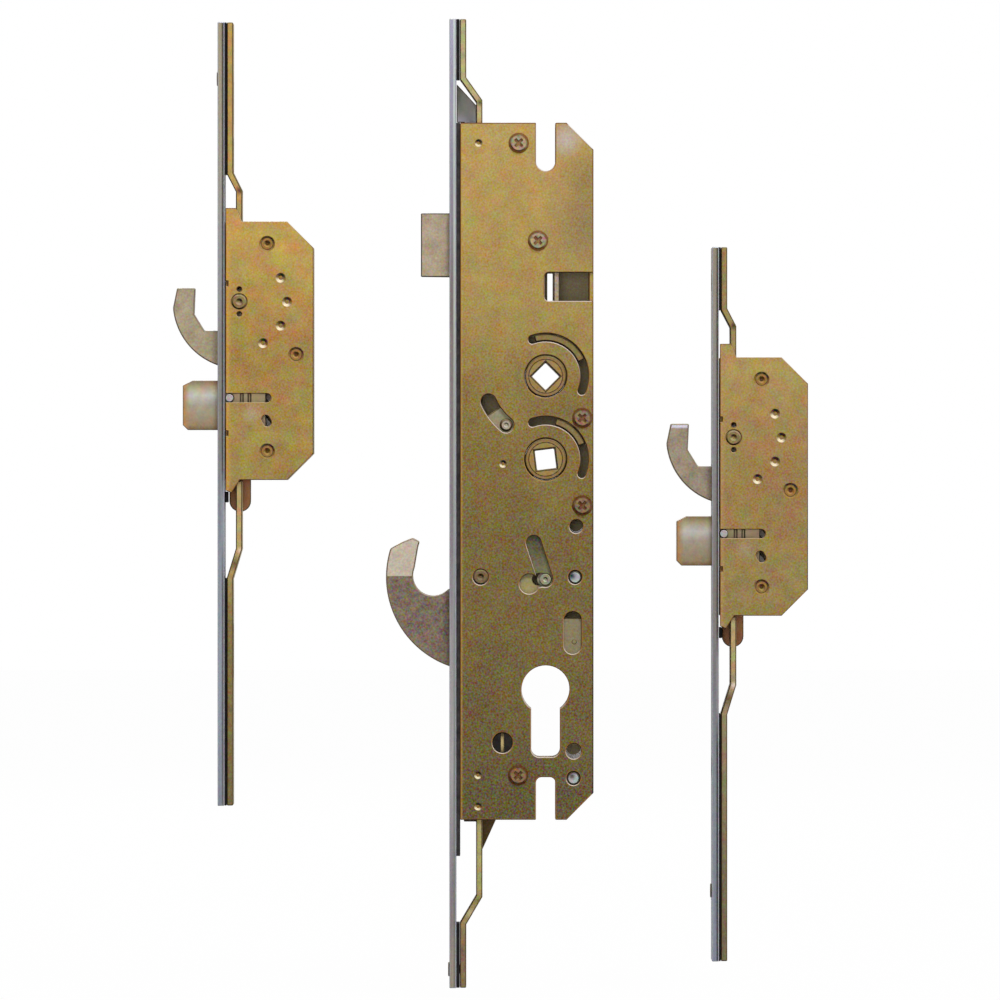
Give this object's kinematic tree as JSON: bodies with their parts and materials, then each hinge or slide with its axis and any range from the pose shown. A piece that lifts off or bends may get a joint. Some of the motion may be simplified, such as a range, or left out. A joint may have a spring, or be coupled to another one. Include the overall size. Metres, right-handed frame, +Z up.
{
  "type": "multipoint door lock",
  "caption": "Multipoint door lock: gearbox with latch, key cylinder hole, spindle followers and swinging hook, with an upper and a lower unit each holding a hook and a bolt.",
  "frame": {"origin": "front face of the gearbox faceplate, midway between its two fixing screws, in the middle of the door's thickness", "axes": "+X from the faceplate into the door, +Y across the door away from the covers, +Z up"},
  "size_m": [0.2312, 0.0174, 0.3525],
  "materials": {
    "plated_steel": "silver blue-grey plated steel strip",
    "yellow_zinc": "yellow passivated zinc with iridescent patches",
    "dark_zinc": "dull passivated zinc",
    "copper_zinc": "copper pink passivated zinc",
    "hook_steel": "sintered steel, warm grey",
    "bright_steel": "bright turned steel",
    "black_nylon": "black moulded nylon"
  },
  "bodies": {
    "frame": {"centre_faceplate": "plated_steel", "centre_fore_end": "dark_zinc", "centre_case_tray": "yellow_zinc", "centre_case_cover": "yellow_zinc", "centre_case_screws": "yellow_zinc", "centre_case_pillars": "bright_steel", "centre_case_rivets": "bright_steel", "screw_guide": "dark_zinc", "centre_hook_pivot": "yellow_zinc", "centre_rail_rivet": "yellow_zinc", "latch_spring": "bright_steel", "latch_spring_stop": "dark_zinc", "upper_faceplate": "plated_steel", "upper_case_tray": "yellow_zinc", "upper_case_cover": "yellow_zinc", "upper_case_screws": "yellow_zinc", "upper_case_pillars": "bright_steel", "upper_hook_pivot": "yellow_zinc", "upper_rail_rivet": "yellow_zinc", "upper_guide_block": "black_nylon", "lower_faceplate": "plated_steel", "lower_case_tray": "yellow_zinc", "lower_case_cover": "yellow_zinc", "lower_case_screws": "yellow_zinc", "lower_case_pillars": "bright_steel", "lower_hook_pivot": "yellow_zinc", "lower_rail_rivet": "yellow_zinc", "lower_guide_block": "black_nylon"},
    "drive": {"drive_slider": "dark_zinc", "centre_rail_top": "yellow_zinc", "centre_rail_bottom": "yellow_zinc", "upper_slider": "copper_zinc", "upper_rail_top": "yellow_zinc", "upper_rail_bottom": "yellow_zinc", "lower_slider": "copper_zinc", "lower_rail_top": "yellow_zinc", "lower_rail_bottom": "yellow_zinc"},
    "lower_follower": {"lower_follower": "yellow_zinc"},
    "centre_hook": {"centre_hook": "hook_steel", "centre_hook_pin": "bright_steel"},
    "upper_hook": {"upper_hook": "hook_steel", "upper_hook_pin": "bright_steel"},
    "lower_hook": {"lower_hook": "hook_steel", "lower_hook_pin": "bright_steel"},
    "upper_bolt": {"upper_bolt": "bright_steel", "upper_bolt_pins": "bright_steel"},
    "lower_bolt": {"lower_bolt": "bright_steel", "lower_bolt_pins": "bright_steel"},
    "latch": {"latch": "hook_steel"},
    "upper_follower": {"upper_follower": "yellow_zinc"},
    "lock_slide": {"lock_slide": "bright_steel"},
    "deadlock_pin": {"deadlock_pin": "bright_steel"}
  },
  "joints": [
    {"name": "drive_slide", "type": "slide", "parent": "frame", "child": "drive", "axis": [0, 0, 1], "range_m": [0, 0.016]},
    {"name": "lower_follower_turn", "type": "hinge", "parent": "frame", "child": "lower_follower", "pos_m": [0.035, 0, 0.0148], "axis": [0, 1, 0], "range_deg": [0, 41.66]},
    {"name": "centre_hook_swing", "type": "hinge", "parent": "frame", "child": "centre_hook", "pos_m": [0.01135, 0, -0.028], "axis": [0, -1, 0], "range_deg": [0, 104]},
    {"name": "upper_hook_swing", "type": "hinge", "parent": "frame", "child": "upper_hook", "pos_m": [-0.07645, 0, 0.0721], "axis": [0, -1, 0], "range_deg": [0, 90]},
    {"name": "lower_hook_swing", "type": "hinge", "parent": "frame", "child": "lower_hook", "pos_m": [0.10335, 0, 0.0227], "axis": [0, -1, 0], "range_deg": [0, 90]},
    {"name": "upper_bolt_slide", "type": "slide", "parent": "frame", "child": "upper_bolt", "axis": [1, 0, 0], "range_m": [0, 0.0128]},
    {"name": "lower_bolt_slide", "type": "slide", "parent": "frame", "child": "lower_bolt", "axis": [1, 0, 0], "range_m": [0, 0.0128]},
    {"name": "latch_slide", "type": "slide", "parent": "frame", "child": "latch", "axis": [1, 0, 0], "range_m": [0, 0.0104], "stiffness_N_per_m": 250, "springref_m": -0.012, "deforming": ["latch_spring"]},
    {"name": "upper_follower_turn", "type": "hinge", "parent": "frame", "child": "upper_follower", "pos_m": [0.035, 0, 0.045], "axis": [0, 1, 0], "range_deg": [0, 27]},
    {"name": "lock_slide_rise", "type": "slide", "parent": "frame", "child": "lock_slide", "axis": [0, 0, 1], "range_m": [0, 0.008]},
    {"name": "deadlock_pin_slide", "type": "slide", "parent": "frame", "child": "deadlock_pin", "axis": [-0.3076, 0, 0.9515], "range_m": [0, 0.00842]}
  ],
  "couplings": [
    {"joint": "lower_follower_turn", "follows": "drive_slide", "rad_per_m": 45.438},
    {"joint": "centre_hook_swing", "follows": "drive_slide", "rad_per_m": 113.45},
    {"joint": "upper_hook_swing", "follows": "drive_slide", "rad_per_m": 98.175},
    {"joint": "lower_hook_swing", "follows": "drive_slide", "rad_per_m": 98.175},
    {"joint": "upper_bolt_slide", "follows": "drive_slide", "ratio": 0.8},
    {"joint": "lower_bolt_slide", "follows": "drive_slide", "ratio": 0.8},
    {"joint": "upper_follower_turn", "follows": "latch_slide", "rad_per_m": 45.311},
    {"joint": "deadlock_pin_slide", "follows": "lock_slide_rise", "ratio": 1.051}
  ]
}
